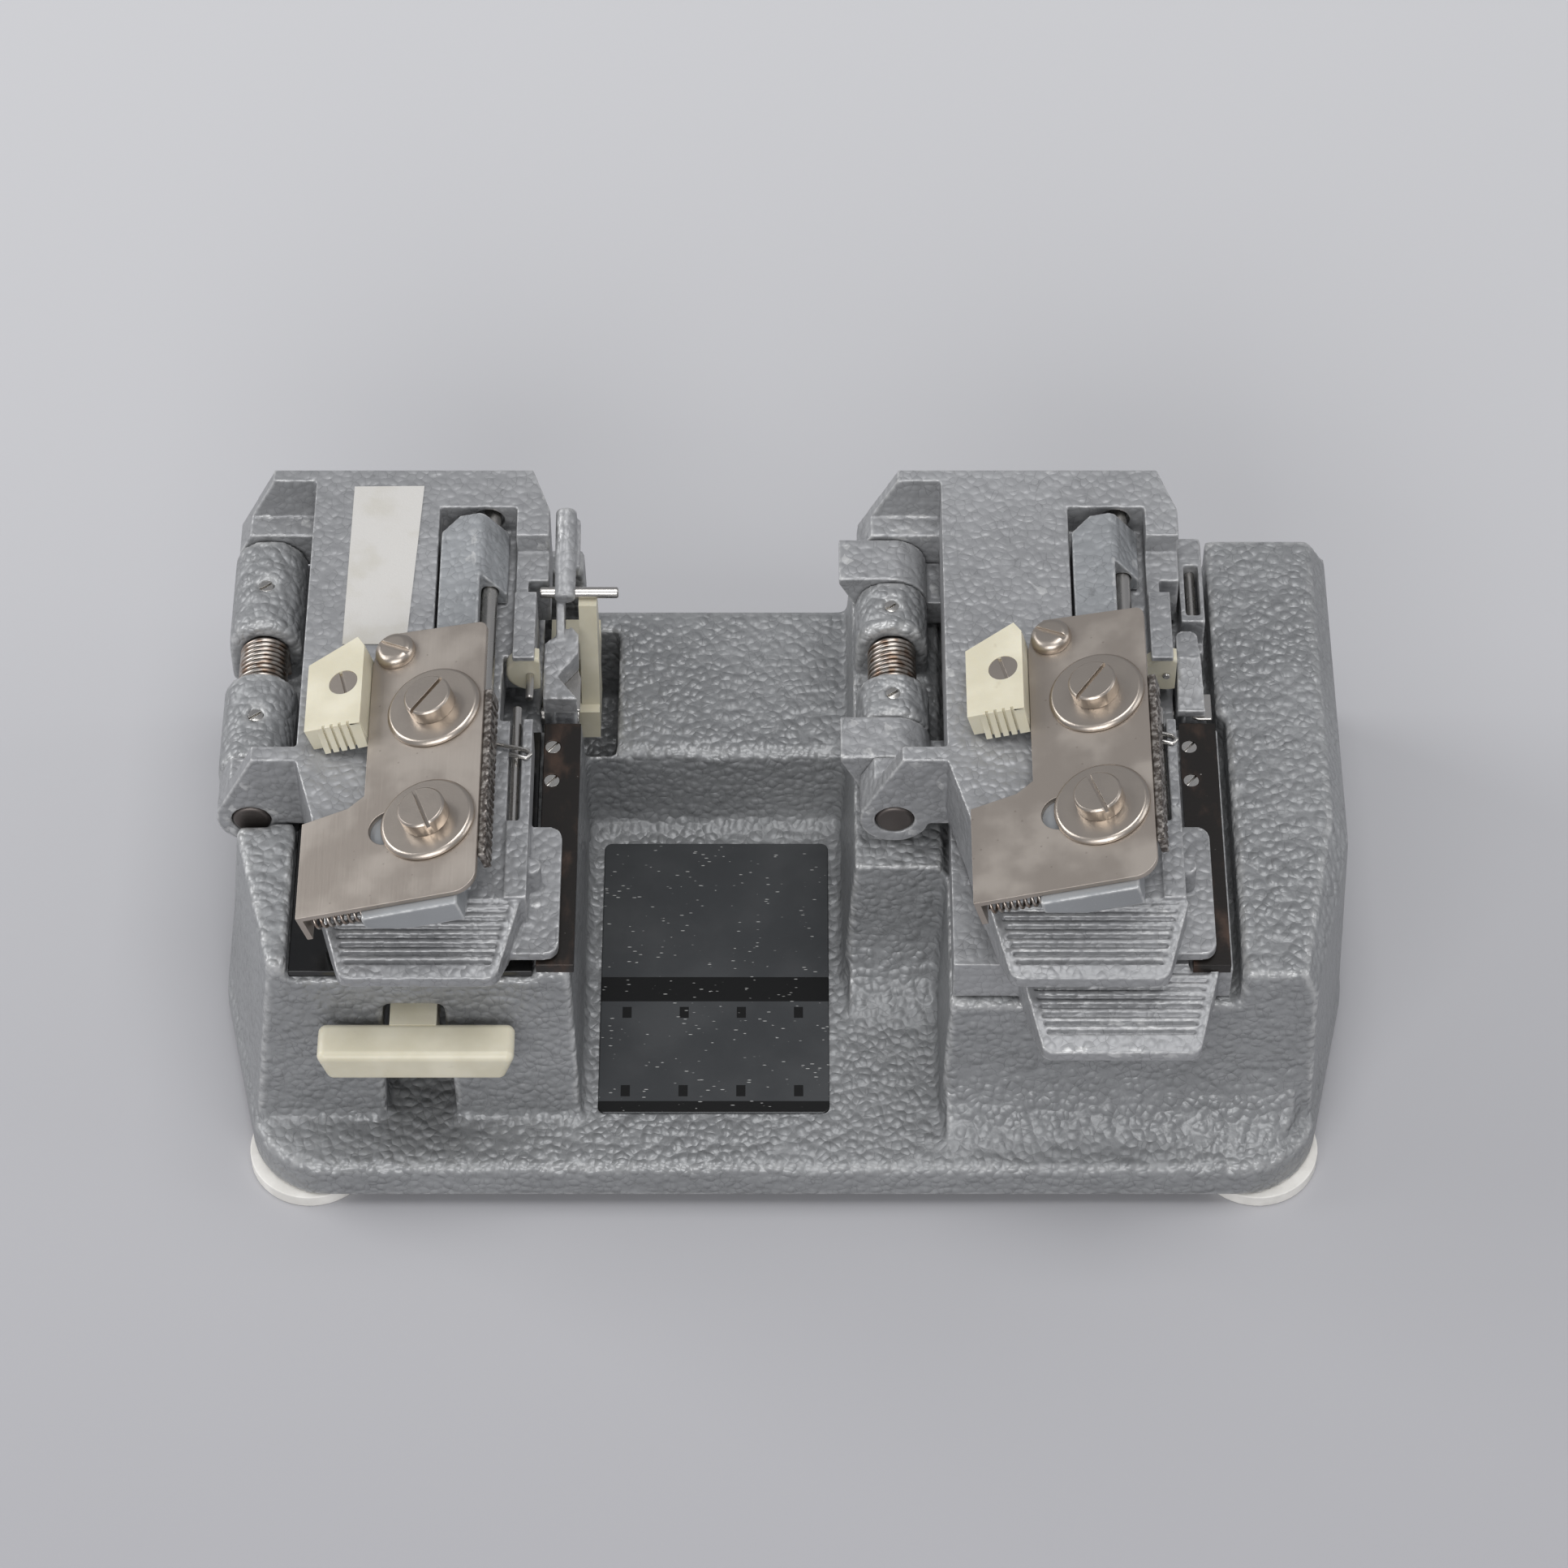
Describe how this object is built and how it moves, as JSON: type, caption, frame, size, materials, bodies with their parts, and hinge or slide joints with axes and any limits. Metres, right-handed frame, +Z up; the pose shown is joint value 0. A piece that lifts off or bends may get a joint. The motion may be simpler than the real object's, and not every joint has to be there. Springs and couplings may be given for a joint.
{
  "type": "film splicer",
  "caption": "Cine film splicer: die-cast base with two hinged clamping heads, sliding scraper plates with cream grips, knife bars and a front press lever.",
  "frame": {"origin": "centre of the bounding box in plan, on the table under the feet", "axes": "+X to the right along the splicer's length, +Y to the hinge side at the rear, +Z up"},
  "size_m": [0.15, 0.0842, 0.0602],
  "materials": {
    "casting": "hammertone paint",
    "foot_rubber": "matte",
    "name_plate": "satin with printed stripes",
    "bright_steel": "turned",
    "spring_steel": "drawn wire",
    "black_steel": "blackened, worn",
    "black_track": "gloss",
    "satin_plate": "satin nickel",
    "toothed_steel": "ground teeth",
    "nickel": "polished nickel",
    "nylon": "aged cream",
    "label_paper": "matte"
  },
  "bodies": {
    "base": {"base_casting": "casting", "base_feet": "foot_rubber", "name_plate": "name_plate", "hinge_set_screws": "bright_steel", "lever_pin": "bright_steel", "left_film_track": "black_track", "left_knife_bar": "black_steel", "left_bar_screws": "bright_steel", "left_hinge_shaft": "bright_steel", "right_hinge_shaft": "bright_steel", "left_hinge_spring": "spring_steel", "right_hinge_spring": "spring_steel", "left_rocker_axle": "bright_steel"},
    "press_lever": {"press_lever": "nylon"},
    "left_rocker": {"left_rocker_arm": "casting", "left_rocker_leaf": "bright_steel", "lift_pin": "bright_steel"},
    "left_jaw": {"left_upper_jaw": "casting", "left_guide_rod": "bright_steel", "left_side_rod": "bright_steel", "left_jaw_button": "nylon", "left_button_pin": "bright_steel", "paper_label": "label_paper"},
    "left_scraper": {"left_scraper_carriage": "casting", "left_washers": "nickel", "left_plate_screws": "nickel", "left_pivot_screw": "nickel", "left_knob": "nylon", "left_knob_screw": "nickel", "left_wire_clip": "bright_steel"},
    "left_plate": {"left_scraper_plate": "satin_plate", "left_scraper_strip": "toothed_steel", "left_push_spring": "spring_steel"},
    "right_carrier": {"right_carrier": "casting", "carrier_rod": "bright_steel", "right_knife_bar": "black_steel", "right_bar_screws": "bright_steel", "right_rocker_axle": "bright_steel"},
    "right_rocker": {"right_rocker_arm": "casting", "right_rocker_leaf": "bright_steel"},
    "right_jaw": {"right_upper_jaw": "casting", "right_guide_rod": "bright_steel", "right_side_rod": "bright_steel", "right_jaw_button": "nylon", "right_button_pin": "bright_steel"},
    "right_scraper": {"right_scraper_carriage": "casting", "right_washers": "nickel", "right_plate_screws": "nickel", "right_pivot_screw": "nickel", "right_knob": "nylon", "right_knob_screw": "nickel", "right_wire_clip": "bright_steel"},
    "right_plate": {"right_scraper_plate": "satin_plate", "right_scraper_strip": "toothed_steel", "right_push_spring": "spring_steel"}
  },
  "joints": [
    {"name": "left_jaw_hinge", "type": "hinge", "parent": "base", "child": "left_jaw", "pos_m": [-0.0691, 0.0169, 0.0385], "axis": [0, -1, 0], "range_deg": [0, 100]},
    {"name": "right_carrier_hinge", "type": "hinge", "parent": "base", "child": "right_carrier", "pos_m": [0.01435, 0.0169, 0.0385], "axis": [0, -1, 0], "range_deg": [0, 40]},
    {"name": "right_jaw_hinge", "type": "hinge", "parent": "right_carrier", "child": "right_jaw", "pos_m": [0.01435, 0.0169, 0.0385], "axis": [0, -1, 0], "range_deg": [0, 80]},
    {"name": "left_scraper_slide", "type": "slide", "parent": "left_jaw", "child": "left_scraper", "axis": [0, -1, 0], "range_m": [0, 0.016]},
    {"name": "right_scraper_slide", "type": "slide", "parent": "right_jaw", "child": "right_scraper", "axis": [0, -1, 0], "range_m": [0, 0.016]},
    {"name": "left_plate_swing", "type": "hinge", "parent": "left_scraper", "child": "left_plate", "pos_m": [-0.04997, 0.007, 0.05495], "axis": [-0.2756, 0, 0.9613], "range_deg": [0, 4], "stiffness_Nm_per_rad": 0.05, "springref_deg": -11.46},
    {"name": "right_plate_swing", "type": "hinge", "parent": "right_scraper", "child": "right_plate", "pos_m": [0.03458, 0.0094, 0.05495], "axis": [-0.2756, 0, 0.9613], "range_deg": [0, 4], "stiffness_Nm_per_rad": 0.05, "springref_deg": -11.46},
    {"name": "press_lever_hinge", "type": "hinge", "parent": "base", "child": "press_lever", "pos_m": [-0.0475, 0.0101, 0.0272], "axis": [1, 0, 0], "range_deg": [0, 8], "stiffness_Nm_per_rad": 0.05, "springref_deg": -17.19},
    {"name": "left_rocker_hinge", "type": "hinge", "parent": "base", "child": "left_rocker", "pos_m": [-0.0294, 0.0135, 0.034], "axis": [1, 0, 0], "range_deg": [0, 10.8]},
    {"name": "right_rocker_hinge", "type": "hinge", "parent": "right_carrier", "child": "right_rocker", "pos_m": [0.05405, 0.0135, 0.034], "axis": [1, 0, 0], "range_deg": [0, 3], "stiffness_Nm_per_rad": 0.02, "springref_deg": -11.46}
  ],
  "couplings": [
    {"joint": "left_rocker_hinge", "follows": "press_lever_hinge", "ratio": 1.34}
  ]
}
